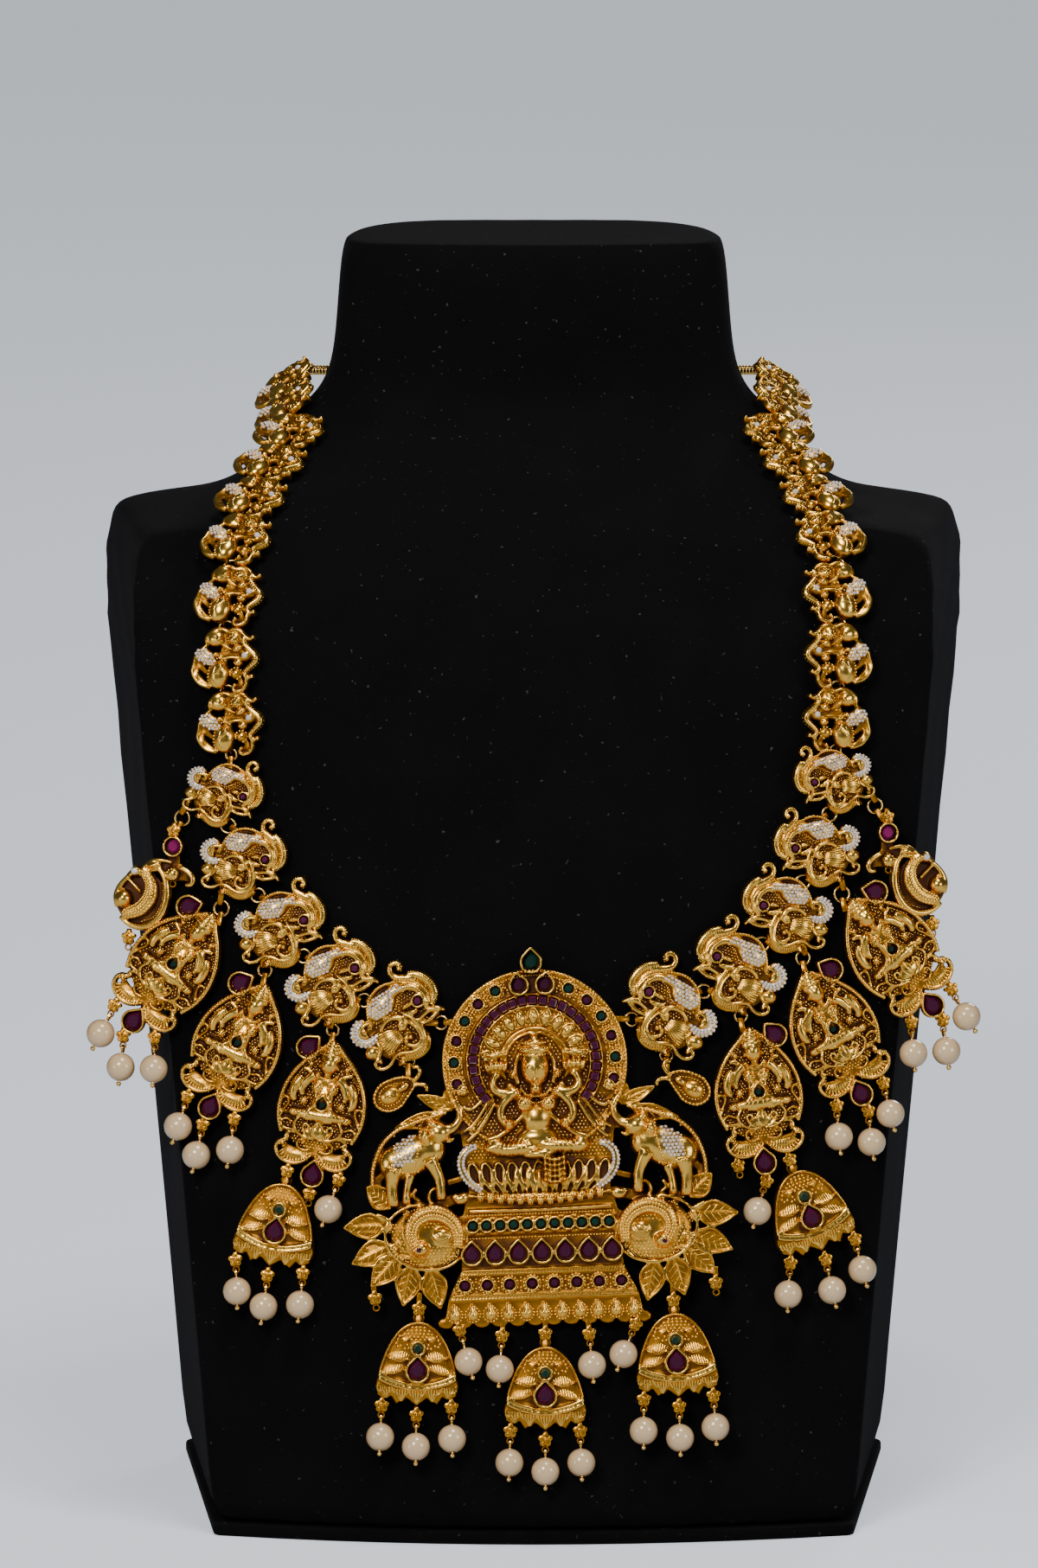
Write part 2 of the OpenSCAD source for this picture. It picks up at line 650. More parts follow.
// Figure pendant on a grid 24 wide
figure_grid = 24;
figure_frame = [
  [[-2.6, 14.6, 1.6], [-5.0, 11.6, 1.6], [-7.6, 7.6, 1.6], [-9.4, 3.6, 1.6], [-10.2, -0.4, 1.6], [-9.6, -4.6, 1.6],
   [-8.2, -8.8, 1.6]],
  [[2.8, 14.6, 1.6], [6.0, 11.4, 1.6], [8.8, 7.6, 1.6], [10.6, 3.6, 1.6], [11.4, -0.4, 1.6], [11.0, -4.6, 1.6],
   [9.2, -8.8, 1.6]],
  [[-8.8, -9.8, 1.4], [-9.2, -12.4, 1.5], [-7.6, -15.2, 1.5], [-4.6, -16.0, 1.5], [-1.6, -14.8, 1.4], [0.4, -12.8, 1.4]],
  [[9.6, -9.8, 1.4], [10.2, -12.2, 1.5], [8.6, -15.0, 1.5], [5.8, -15.6, 1.5], [3.0, -14.6, 1.4], [1.2, -12.8, 1.4]]
];
figure_scrolls = [
  [[-9.6, -4.0, 0.9], [-8.4, -1.6, 0.9], [-8.6, -0.2, 0.9], [-9.6, 0.0, 0.9]],
  [[10.4, -4.6, 0.9], [9.0, -1.8, 0.9], [9.4, 0.2, 0.9], [10.4, 0.4, 0.9]],
  [[-6.0, -7.4, 0.9], [-8.2, -7.4, 0.9], [-9.2, -6.2, 0.9], [-8.2, -5.2, 0.9], [-6.8, -5.6, 0.9]],
  [[6.4, -7.4, 0.9], [9.0, -7.2, 0.9], [10.0, -5.8, 0.9], [8.8, -4.8, 0.9], [7.4, -5.4, 0.9]],
  [[-5.2, -8.2, 0.9], [-6.8, -8.8, 0.9], [-7.2, -10.2, 0.9], [-6.2, -11.2, 0.9]],
  [[5.8, -8.2, 0.9], [7.6, -8.6, 0.9], [8.2, -9.8, 0.9], [7.4, -11.0, 0.9]]
];
figure_backs = [
  [[0, 16.0, 3.0], [0, 12.0, 5.6], [0, 8.0, 12.0], [0.2, 4.0, 15.0], [0.4, 0.0, 15.5], [0.4, -4.0, 15.0], [0.4, -8.0, 12.0],
   [0.5, -11.0, 8.0], [0.6, -13.0, 3.0]],
  [[-8.2, -13.0, 3.4], [-5.0, -13.4, 3.6], [-1.0, -12.2, 3.0]],
  [[9.2, -12.8, 3.4], [6.0, -13.2, 3.6], [2.0, -12.2, 3.0]],
  [[-11.0, -3.0, 1.4], [-8.0, -3.2, 1.4], [-5.0, -3.4, 1.4]],
  [[11.6, -3.0, 1.4], [9.0, -3.2, 1.4], [5.0, -3.4, 1.4]],
  [[-9.4, 5.0, 1.4], [-5.0, 6.0, 1.4]],
  [[10.2, 5.0, 1.4], [5.0, 6.0, 1.4]],
  [[-6.4, 14.2, 2.0], [-4.0, 10.8, 2.0], [-1.0, 8.0, 2.0]],
  [[0.8, -13.0, 2.0], [0.9, -15.4, 2.0]]
];
figure_ruby = 2.2;
figure_ruby_spot = [-6.5, 14.3];
figure_emerald = 1.15;

// Seated figure built up from round forms: x, y, radius, height of its centre
figure_forms = [
  [0, 15.4, 1.5, 1.0], [0, 13.6, 2.0, 0.9], [0, 11.6, 2.3, 1.0], [0, 8.8, 1.2, 1.0],
  [-3.4, 7.2, 1.5, 0.9], [3.4, 7.2, 1.5, 0.9], [-2.0, 4.6, 2.0, 0.9], [2.0, 4.6, 2.0, 0.9],
  [-5.6, 5.0, 1.2, 0.8], [5.6, 5.0, 1.2, 0.8], [-5.6, 2.4, 1.1, 0.8], [5.6, 2.4, 1.1, 0.8],
  [-5.0, 0.2, 1.4, 0.8], [5.0, 0.2, 1.4, 0.8], [0, 1.8, 2.2, 0.2], [0, -1.0, 2.2, 0.4],
  [-6.4, -3.0, 1.5, 0.8], [7.0, -2.8, 1.5, 0.8], [-3.0, -3.0, 1.5, 0.8], [3.4, -3.0, 1.5, 0.8], [0.2, -3.2, 1.5, 0.8],
  [-7.8, 3.6, 1.0, 0.6], [8.2, 3.6, 1.0, 0.6]
];

module figure_casting() {
  k = figure_width / figure_grid;
  difference() {
    union() {
      translate([0, 0, plate_floor]) {
        linear_extrude(plate)
          scale(k)
            union() {
              bands(figure_frame);
              bands(figure_scrolls);
              bands(figure_backs);
            }
        translate([0, 0, inset])
          linear_extrude(relief * 0.5)
            scale(k)
              bands(figure_frame, -0.5);
        scale(k) {
          for (f = figure_forms)
            boss(f[0], f[1], f[2], f[3] * relief * 0.5);
          for (a = [-2 : 2])
            translate([0.3 + 2.4 * a, -6.6 + 0.25 * abs(a), plate * 0.6])
              rotate([0, 0, -14 * a])
                petal(2.1, 1.5, relief * 0.4);
        }
      }
      translate([k * figure_ruby_spot[0], k * figure_ruby_spot[1], 0])
        rotate([0, 0, -38])
          pear_bezel(figure_ruby, plate_floor, plate_floor + relief * 0.8);
      translate([0.9 * k, -18.4 * k, 0])
        pear_bezel(figure_ruby, plate_floor, plate_floor + relief * 0.8);
      translate([0, 0.3 * k, 0])
        pear_bezel(figure_emerald, plate_floor, plate_floor + relief * 1.05);
    }
    translate([0, 0.3 * k, plate_floor + 0.5])
      linear_extrude(relief * 2)
        polygon(pear_points(figure_emerald + clearance));
    translate([k * figure_ruby_spot[0], k * figure_ruby_spot[1], plate_floor + 0.5])
      rotate([0, 0, -38])
        linear_extrude(relief * 2)
          polygon(pear_points(figure_ruby + clearance));
    translate([0.9 * k, -18.4 * k, plate_floor + 0.5])
      linear_extrude(relief * 2)
        polygon(pear_points(figure_ruby + clearance));
    // Flat back
    translate([0, 0, -9])
      linear_extrude(plate_floor + 9)
        square([60, 80], center = true);
  }
}

// An upright petal: a short bar with round ends
module petal(length, w, h) {
  for (s = [-1, 1])
    translate([0, s * length / 2, 0])
      cylinder(r = w / 2, h = h, $fn = 16);
  translate([-w / 2, -length / 2, 0])
    cube([w, length, h]);
}

module figure_pendant(row, side, eyes, drops) {
  color("goldenrod") {
    on_bust(row)
      mirror([side > 0 ? 1 : 0, 0, 0])
        figure_casting();
    for (e = eyes)
      joint_eye(row, e[0], e[1]);
    host_flowers(row, drops);
  }
}

module figure_rubies(row, side) {
  k = figure_width / figure_grid;
  on_bust(row)
    mirror([side > 0 ? 1 : 0, 0, 0]) {
      translate([k * figure_ruby_spot[0], k * figure_ruby_spot[1], plate_floor + 0.5 + clearance])
        rotate([0, 0, -38])
          pear_stone(figure_ruby);
      translate([0.9 * k, -18.4 * k, plate_floor + 0.5 + clearance])
        pear_stone(figure_ruby);
    }
}

module figure_emerald_stone(row, side) {
  k = figure_width / figure_grid;
  on_bust(row)
    mirror([side > 0 ? 1 : 0, 0, 0])
      translate([0, 0.3 * k, plate_floor + 0.5 + clearance])
        pear_stone(figure_emerald);
}

// Main pendant: view plane u, v, turn; everything in it is drawn from its own middle line
main_row = [1.0, 99.6, 2.2];
halo_y = 19.5;
halo_ring = 0.66 * halo_radius;
halo_band = 0.865 * halo_radius;
crown_emerald = [0, 44.0, 2.0];
crown_ruby = [3.2, 38.4, 1.75];
band_stone = 1.15;
band_angles = [63, 47.6, 32.2, 16.8, 1.4, -14];
emerald_row = [11, 3.35, -20.3, 1.15];
pear_row = [7, 5.75, -27.4, 1.95];
ruby_row = [8, 5.5, -34.9, 1.2];
petal_row = [11, 4.4, -41.8];
function row_x(r, i) = (i - (r[0] - 1) / 2) * r[1];

// One side of the pendant, x to the right: bands x, y, width
side_bands = [
  [[22.0, 4.4, 3.2], [19.6, 5.4, 2.4], [18.6, 7.6, 1.9], [19.0, 9.6, 1.6], [20.6, 10.8, 1.3]],
  [[25.4, -5.0, 4.4], [23.2, -8.6, 3.0], [22.6, -12.0, 2.6], [22.8, -13.4, 3.0]],
  [[34.4, -6.0, 5.0], [33.6, -10.0, 3.4], [33.6, -15.0, 3.2]],
  [[30.0, -8.0, 3.0], [29.2, -11.0, 2.0], [29.0, -13.2, 2.4]],
  [[35.4, 4.4, 1.4], [31.6, 6.6, 3.4], [27.0, 7.2, 1.6], [24.0, 6.4, 1.6]],
  [[29.4, 12.2, 1.0], [26.0, 11.2, 3.0], [20.8, 7.4, 1.6]],
  [[30.0, 5.6, 1.4], [35.0, 3.6, 1.4], [38.6, 0.0, 1.4], [40.6, -5.0, 1.4], [41.0, -9.6, 1.4]],
  [[16.2, -1.0, 1.6], [18.4, -3.6, 2.2], [18.4, -7.0, 2.4], [16.6, -10.2, 2.2], [13.6, -12.2, 1.8]],
  [[25.2, -15.4, 1.2], [27.0, -11.6, 1.2], [25.8, -9.8, 1.2]]
];
side_ovals = [
  [30.6, -2.8, 8.4, 5.0, 152], [24.4, 2.6, 4.2, 3.6, 30], [28.6, -22.6, 11.0, 8.2, 5],
  [39.4, -12.6, 4.2, 2.9, 42], [43.2, -19.4, 5.2, 3.1, 2], [41.8, -26.4, 5.2, 3.1, -24],
  [38.6, -30.4, 5.2, 3.1, -48], [33.2, -34.2, 5.2, 3.1, -76], [26.6, -35.2, 5.2, 3.1, -104], [18.6, -14.0, 3.0, 2.6, -30]
];
side_straps = [
  [[17.0, 4.0, 3.0], [21.0, 3.6, 3.0], [26.0, 2.0, 3.0]],
  [[36.6, -6.0, 2.0], [39.6, -8.4, 2.0], [38.6, -14.0, 2.0]],
  [[17.0, -18.0, 3.0], [22.0, -20.0, 3.0]], [[17.0, -26.0, 3.0], [22.0, -25.0, 3.0]],
  [[31.0, -14.0, 3.0], [27.0, -16.0, 3.0], [22.6, -14.0, 3.0], [18.0, -13.0, 2.4]],
  [[36.0, -13.6, 2.0], [33.6, -15.6, 2.0], [31.0, -18.0, 2.0]], [[17.4, -8.0, 1.6], [22.6, -9.4, 1.6]],
  [[20.0, 8.6, 1.4], [22.4, 12.0, 1.4], [20.4, 14.6, 1.4]]
];
// Raised round forms of one side: x, y, radius, height of the centre as a share of the relief
side_forms = [
  [27.0, -1.6, 4.0, 0.30], [30.8, -3.4, 4.2, 0.25], [34.6, -5.0, 4.0, 0.20], [24.2, 2.8, 3.2, 0.55],
  [21.6, 4.6, 1.6, 0.60], [19.2, 6.6, 1.2, 0.50], [20.6, 10.6, 1.0, 0.40], [26.6, 3.8, 1.8, 0.60],
  [22.6, -12.8, 1.4, 0.40], [33.6, -14.4, 1.5, 0.40], [33.8, -9.6, 1.8, 0.40], [24.0, -7.6, 1.7, 0.40],
  [23.0, -22.0, 3.0, 0.50], [26.6, -17.8, 2.4, 0.55], [31.0, -18.6, 2.2, 0.55], [33.4, -22.0, 2.2, 0.55],
  [30.5, -25.6, 2.2, 0.60], [34.6, -26.0, 1.6, 0.50], [37.4, -19.0, 1.8, 0.35], [18.6, -14.0, 1.8, 0.45]
];
// The seated figure and its seat: x, y, radius, height of the centre as a share of the relief
main_forms = [
  [0, 22.6, 3.4, 0.45], [0, 20.6, 4.0, 0.40], [0, 17.4, 4.0, 0.45], [0, 15.2, 3.0, 0.50], [0, 12.4, 2.2, 0.45],
  [-9.6, 18.8, 2.7, 0.35], [9.6, 18.8, 2.7, 0.35], [-6.0, 11.6, 2.2, 0.40], [6.0, 11.6, 2.2, 0.40],
  [-2.9, 9.6, 2.6, 0.50], [2.9, 9.6, 2.6, 0.50], [0, 5.6, 3.2, 0.30], [0, 2.4, 3.6, 0.35],
  [-9.2, 13.6, 1.6, 0.40], [9.2, 13.6, 1.6, 0.40], [-7.6, 7.6, 1.7, 0.45], [7.6, 7.6, 1.7, 0.45],
  [-6.8, 4.2, 1.9, 0.55], [6.8, 4.2, 1.9, 0.55], [-4.4, -0.6, 2.4, 0.55], [-8.6, -1.0, 2.4, 0.50], [0.1, -1.7, 2.6, 0.50], [-2.2, -0.6, 1.9, 0.50], [2.3, -0.6, 1.9, 0.50],
  [4.4, -0.6, 2.4, 0.55], [8.6, -0.4, 2.4, 0.50], [3.0, -5.0, 2.0, 0.55], [3.2, -8.6, 1.8, 0.50]
];

module both_sides() {
  for (m = [0, 1])
    mirror([m, 0, 0])
      children();
}

module main_plate() {
  translate([0, halo_y])
    circle(r = halo_radius, $fn = 72);
  polygon([[-19, 4], [-17.4, -12], [-19, -17], [-20, -31], [-23.4, -38], [-24.6, -44],
    [24.6, -44], [23.4, -38], [20, -31], [19, -17], [17.4, -12], [19, 4]]);
  for (i = [0 : petal_row[0]])
    translate([(i - petal_row[0] / 2) * petal_row[1], -43.8])
      circle(r = 2.1, $fn = 20);
  both_sides()
    union() {
      bands(side_bands);
      ovals(side_ovals);
      bands(side_straps);
    }
}

module main_settings() {
  translate([0, crown_emerald[1], 0])
    pear_bezel(crown_emerald[2], plate_floor, plate_floor + relief * 1.2);
  both_sides()
    translate([crown_ruby[0], crown_ruby[1], 0])
      rotate([0, 0, -12])
        pear_bezel(crown_ruby[2], plate_floor, plate_floor + relief * 1.1);
  both_sides()
    for (a = band_angles)
      translate([halo_band * cos(a), halo_y + halo_band * sin(a), 0])
        round_bezel(band_stone, plate_floor, plate_floor + relief * 0.7);
  for (i = [0 : emerald_row[0] - 1])
    translate([row_x(emerald_row, i), emerald_row[2], 0])
      round_bezel(emerald_row[3], plate_floor, plate_floor + relief * 0.7);
  for (i = [0 : pear_row[0] - 1])
    translate([row_x(pear_row, i), pear_row[2], 0])
      pear_bezel(pear_row[3], plate_floor, plate_floor + relief * 0.8);
  for (i = [0 : ruby_row[0] - 1])
    translate([row_x(ruby_row, i), ruby_row[2], 0])
      round_bezel(ruby_row[3], plate_floor, plate_floor + relief * 0.7);
}

// Pockets that keep each seat open where a plate runs under it
module main_pockets() {
  z = plate_floor + 0.5;
  translate([0, crown_emerald[1], z])
    linear_extrude(2 * relief)
      polygon(pear_points(crown_emerald[2] + clearance));
  both_sides()
    translate([crown_ruby[0], crown_ruby[1], z])
      rotate([0, 0, -12])
        linear_extrude(2 * relief)
          polygon(pear_points(crown_ruby[2] + clearance));
  both_sides()
    for (a = band_angles)
      translate([halo_band * cos(a), halo_y + halo_band * sin(a), z])
        cylinder(r = band_stone + clearance, h = 2 * relief, $fn = 24);
  for (i = [0 : emerald_row[0] - 1])
    translate([row_x(emerald_row, i), emerald_row[2], z])
      cylinder(r = emerald_row[3] + clearance, h = 2 * relief, $fn = 24);
  for (i = [0 : pear_row[0] - 1])
    translate([row_x(pear_row, i), pear_row[2], z])
      linear_extrude(2 * relief)
        polygon(pear_points(pear_row[3] + clearance));
  for (i = [0 : ruby_row[0] - 1])
    translate([row_x(ruby_row, i), ruby_row[2], z])
      cylinder(r = ruby_row[3] + clearance, h = 2 * relief, $fn = 24);
}

module main_casting() {
  difference() {
    union() {
      translate([0, 0, plate_floor]) {
        linear_extrude(plate)
          main_plate();
        linear_extrude(relief * 0.5)
          both_sides()
            ovals(side_ovals, -0.4);
        translate([0, halo_y, 0]) {
          rim(halo_radius - 0.8, 1.3, plate + 0.7);
          rim(halo_ring + 1.5, 0.8, plate + 0.4);
          rim(halo_ring - 1.5, 0.8, plate + 0.4);
        }
        for (y = [-31.3, -38.3])
          translate([-19 + (y < -35 ? -3 : 0), y, plate])
            rotate([0, 90, 0])
              cylinder(r = 0.6, h = 38 + (y < -35 ? 6 : 0), $fn = 16);
        for (i = [0 : petal_row[0] - 1])
          translate([row_x(petal_row, i), petal_row[2], 0])
            petal(1.6, 2.6, relief * 0.6);
        for (i = [-5 : 5])
          translate([2.7 * i, -7.4 + 0.04 * i * i, 0])
            rotate([0, 0, -7 * i])
              petal(4.6 - 0.1 * abs(i), 2.2, relief * 0.7);
        for (i = [-6 : 6])
          boss(2.5 * i, -14.8 + 0.03 * i * i, 1.3, relief * 0.4);
        for (i = [0 : 8])
          translate([0, halo_y, 0])
            rotate([0, 0, -80 + 20 * i])
              boss(0, 11.2, 1.5, relief * 0.3);
        for (f = main_forms)
          boss(f[0], f[1], f[2], f[3] * relief);
        both_sides()
          for (f = side_forms)
            boss(f[0], f[1], f[2], f[3] * relief);
      }
      main_settings();
    }
    main_pockets();
    // Flat back: nothing round bulges through the plate
    translate([0, 0, -9])
      linear_extrude(plate_floor + 9)
        square([120, 120], center = true);
  }
}

module main_pendant() {
  color("goldenrod") {
    on_bust(main_row)
      main_casting();
    joint_eye(main_row, joints_left[5], 1, 2.6);
    joint_eye(main_row, joints_right[5], 1, 2.6);
    host_flowers(main_row, main_drops, 3.8);
  }
}

seat_z = plate_floor + 0.5 + clearance;

module main_rubies() {
  color("darkred")
    on_bust(main_row) {
      both_sides()
        translate([crown_ruby[0], crown_ruby[1], seat_z])
          rotate([0, 0, -12])
            pear_stone(crown_ruby[2]);
      for (i = [0 : pear_row[0] - 1])
        translate([row_x(pear_row, i), pear_row[2], seat_z])
          pear_stone(pear_row[3]);
      for (i = [0 : ruby_row[0] - 1])
        translate([row_x(ruby_row, i), ruby_row[2], seat_z])
          round_stone(ruby_row[3]);
      both_sides()
        for (i = [1, 3, 5])
          translate([halo_band * cos(band_angles[i]), halo_y + halo_band * sin(band_angles[i]), seat_z])
            round_stone(band_stone);
    }
}

module main_emeralds() {
  color("darkgreen")
    on_bust(main_row) {
      translate([0, crown_emerald[1], seat_z])
        pear_stone(crown_emerald[2]);
      for (i = [0 : emerald_row[0] - 1])
        translate([row_x(emerald_row, i), emerald_row[2], seat_z])
          round_stone(emerald_row[3]);
      both_sides()
        for (i = [0, 2, 4])
          translate([halo_band * cos(band_angles[i]), halo_y + halo_band * sin(band_angles[i]), seat_z])
            round_stone(band_stone);
    }
}

// Bells: host row is looked up where they hang; view plane u, v of the ruby and turn
bell_grid = 20.6;
bell_outline = [
  [0, 12.2], [2.4, 11.8], [4.6, 10.2], [6.4, 7.8], [7.8, 4.8], [8.9, 1.6], [9.8, -1.2], [10.2, -4.0], [9.6, -5.8],
  [8.4, -6.2], [6.8, -5.6], [5.0, -8.2], [3.0, -6.4], [2.0, -7.0], [0, -8.6]
];
bell_ruby = 2.2;
bell_emerald = 1.25;

module bell_casting() {
  k = bell_width / bell_grid;
  outline = concat(bell_outline, [for (i = [1 : len(bell_outline) - 2]) let (q = bell_outline[len(bell_outline) - 1 - i])
    [-q[0], q[1]]]);
  difference() {
    union() {
      translate([0, 0, clearance])
        linear_extrude(2.6)
          polygon(k * outline);
      translate([0, 0, 2.4])
        linear_extrude(1.4)
          polygon(k * 0.86 * outline);
      translate([0, 0, 3.6])
        linear_extrude(1.0)
          polygon([for (q = outline) [k * 0.68 * q[0], k * (0.7 * q[1] + 0.4)]]);
      translate([-9.0 * k, -3.9 * k, 2.6])
        rotate([0, 90, 0])
          cylinder(r = 0.8, h = 18 * k, $fn = 14);
      translate([0, 5.6 * k, 0])
        round_bezel(bell_emerald, 3, plate_floor + relief);
      pear_bezel(bell_ruby, 3, plate_floor + relief);
      for (x = [-2 : 2])
        boss(3.9 * x * k, (-6.0 + 0.35 * abs(x)) * k, 1.7 * k, 1.9);
      for (a = [-1 : 1])
        boss(1.5 * a, (9.4 - 0.25 * abs(a)) * k, 0.65, 4.2);
      translate([0, 12.2 * k + 0.9, eye_height])
        ring(1.2, ring_wire / 2);
      translate([-0.5, 11.4 * k, eye_height - ring_wire / 2])
        cube([1, 0.9, ring_wire]);
    }
    translate([0, 5.6 * k, 3.5])
      cylinder(r = bell_emerald + clearance, h = 9, $fn = 24);
    translate([0, 0, 3.5])
      linear_extrude(9)
        polygon(pear_points(bell_ruby + clearance));
    // Hollow of the bell, open at the hem
    translate([0, -1.0, -1])
      linear_extrude(2.8)
        polygon(k * 0.8 * outline);
  }
}

// Where the flowers of a figure pendant sit on its grid, and what each one carries: turn and drop
figure_spots = [[-5.95, -18.4], [0.95, -23.1], [7.85, -18.0]];
pearl_drop = 7.8;
bell_drop = -1;
figure_hang_left = [
  [[-22, pearl_drop], [0, pearl_drop], [3, pearl_drop]],
  [[-14, pearl_drop], [-8, pearl_drop], [-4, pearl_drop]],
  [[-9, bell_drop], [-6, 0], [-17, pearl_drop]]
];
figure_hang_right = [
  [[25.5, pearl_drop], [2, pearl_drop], [-1, pearl_drop]],
  [[9, pearl_drop], [2, pearl_drop], [0, pearl_drop]],
  [[18, bell_drop], [-20, pearl_drop], [10, 0]]
];
function figure_drops(row, side, hang) = let (k = figure_width / figure_grid) [
  for (i = [0 : 2]) concat(on_row(row, -side * k * figure_spots[i][0], k * figure_spots[i][1]), hang[i])
];
main_drops = [
  [-28.2, 58.5, -1.5, bell_drop], [2.8, 52.4, 0, bell_drop], [34.3, 60.6, 3, bell_drop],
  [-18.2, 53.4, 15, 8.2], [-7.8, 51.9, -4, 8.3], [13.6, 52.4, 5, pearl_drop], [25.0, 54.7, -22, 8.0],
  [-39.0, 61.1, 8, 0], [44.7, 64.9, 2, 0]
];

// A bell hangs from a flower d: its ruby lies straight below
bell_reach = 15.4;
function bell_row(d) = concat(on_row([d[0], d[1], d[2]], 0, -bell_reach), [d[2]]);
bell_spots = [[-8.6, -8.6, -2], [0, -10.8, 0], [8.6, -8.6, 2]];
function bell_drops(b, first = 0) = let (k = bell_width / bell_grid) [
  for (i = [0 : 2]) let (q = bell_spots[i])
    concat(on_row(b, k * q[0], k * q[1]), [0.5 * b[2] + q[2] + (i == 0 ? first : 0), pearl_drop])
];

// Round scaled peacock at the outer corner: view plane u, v, turn, drawn for the left side
side_left = [-95.5, 160.4, 0];
side_right = [94.0, 163.8, 0];
side_peacock_bands = [
  [[7.3, 15.6, 1.6], [7.5, 12.0, 2.0], [7.9, 8.6, 2.0], [7.0, 5.0, 2.6], [4.4, 2.0, 2.6]],
  [[0.0, 4.6, 1.4], [3.0, 7.0, 2.4], [7.6, 7.4, 2.2]],
  [[9.0, 5.6, 1.2], [11.2, 5.4, 1.0], [12.3, 4.2, 1.0], [11.8, 3.2, 1.0]],
  [[-3.2, -6.8, 1.6], [-2.9, -11.0, 1.6]]
];
side_peacock_forms = [
  [3.0, 3.6, 1.5], [2.8, 1.4, 1.9], [1.6, -1.0, 2.2], [-0.4, -3.2, 2.5], [-3.0, -4.6, 2.6], [-5.0, -2.2, 2.1],
  [-4.8, 0.4, 1.8], [-1.6, 5.2, 1.6], [3.6, -5.4, 1.4]
];
connector_ruby = 1.9;

// Paisley: view plane u, v, turn, drawn with its tip to the right
paisley_left = [-33.6, 111.2, 18];
paisley_right = [37.6, 112.8, -17];
paisley_forms = [[-1.2, -0.2, 2.2], [1.4, 0.9, 1.3]];
paisley_bands = [
  [[2.4, 1.2, 3.2], [4.8, 1.6, 1.6], [6.4, 2.4, 1.2], [7.4, 3.6, 1.1], [7.0, 4.8, 1.1], [5.9, 4.8, 1.0]],
  [[4.8, 0.8, 1.4], [6.6, 0.4, 1.1], [7.8, -0.4, 1.1], [7.6, -1.7, 1.0]]
];

module side_casting() {
  difference() {
    union() {
      translate([0, 0, plate_floor]) {
        linear_extrude(plate)
          union() {
            translate([-0.4, -1.2])
              circle(r = 6.9, $fn = 40);
            bands(side_peacock_bands);
          }
        linear_extrude(relief * 0.5)
          bands(side_peacock_bands, -0.4);
        translate([-0.4, -1.2, 0])
          rim(6.15, 1.3, plate + 0.7);
        for (f = side_peacock_forms)
          boss(f[0], f[1], f[2], relief * 0.35);
      }
      translate([7.5, 12.0, 0])
        round_bezel(connector_ruby, plate_floor, plate_floor + relief * 0.8);
      for (p = [[7.2, 15.9], [7.6, 5.2], [-2.9, -11.0]])
        translate([p[0], p[1], 0])
          flower();
    }
    translate([7.5, 12.0, plate_floor + 0.5])
      cylinder(r = connector_ruby + clearance, h = 2 * relief, $fn = 24);
    translate([-1.9, 2.9, 0])
      cylinder(r = 1.1, h = 9, $fn = 16);
    translate([0, 0, -9])
      linear_extrude(plate_floor + 9)
        square([40, 60], center = true);
  }
}

module side_peacock(row, side, j) {
  color("goldenrod") {
    on_bust(row)
      mirror([side > 0 ? 1 : 0, 0, 0])
        side_casting();
    joint_eye(row, j, -1, 3.0);
  }
}

module connector_stone(row, side) {
  on_bust(row)
    mirror([side > 0 ? 1 : 0, 0, 0])
      translate([7.5, 12.0, plate_floor + 0.5 + clearance])
        round_stone(connector_ruby);
}

module paisley(row, side, j) {
  color("goldenrod") {
    on_bust(row)
      mirror([side > 0 ? 1 : 0, 0, 0])
        difference() {
          translate([0, 0, plate_floor]) {
            linear_extrude(plate)
              union() {
                bands(paisley_bands);
                oval([-1.2, -0.2, 4.2, 3.4, 10]);
              }
            linear_extrude(relief * 0.5)
              union() {
                bands(paisley_bands, -0.4);
                oval([-1.2, -0.2, 3.8, 3.0, 10]);
              }
            for (f = paisley_forms)
              boss(f[0], f[1], f[2], relief * 0.3);
          }
          translate([0, 0, -9])
            linear_extrude(plate_floor + 9)
              square([40, 40], center = true);
        }
    joint_eye(row, j, -1, 5.0);
  }
}

// Which joint eyes peacock link number i of one side carries
function link_eyes(js, i) = i < 4 ? [[js[i], -1], [js[i + 1], 1], [js[i + 6], 1]]
  : [[js[4], -1], [js[5], -1], [js[10], 1]];

module joint_rings(frames, js, links, figures, outer, small) {
  j = js[0];
  ring_between(joint_point(links[0], j, -1), eye_spot(frames[0], -link_eye), frames[0][2]);
  for (i = [1 : 4])
    joint_ring(links[i], links[i - 1], js[i]);
  joint_ring(links[4], main_row, js[5]);
  joint_ring(outer, links[0], js[6]);
  for (i = [0 : 2])
    joint_ring(figures[i], links[i + 1], js[i + 7]);
  joint_ring(small, links[4], js[10]);
}

// Ring between the last chain link and the back chain
module back_ring(frames, side) {
  f = frames[len(frames) - 1];
  ring_between(eye_spot(f, link_eye), [-side * back_end[0], back_end[1], back_height], f[2]);
}

module joint_rings_left() {
  color("goldenrod") {
    joint_rings(frames_left, joints_left, peacocks_left, figures_left, side_left, paisley_left);
    back_ring(frames_left, -1);
  }
}

module joint_rings_right() {
  color("goldenrod") {
    joint_rings(frames_right, joints_right, peacocks_right, figures_right, side_right, paisley_right);
    back_ring(frames_right, 1);
  }
}

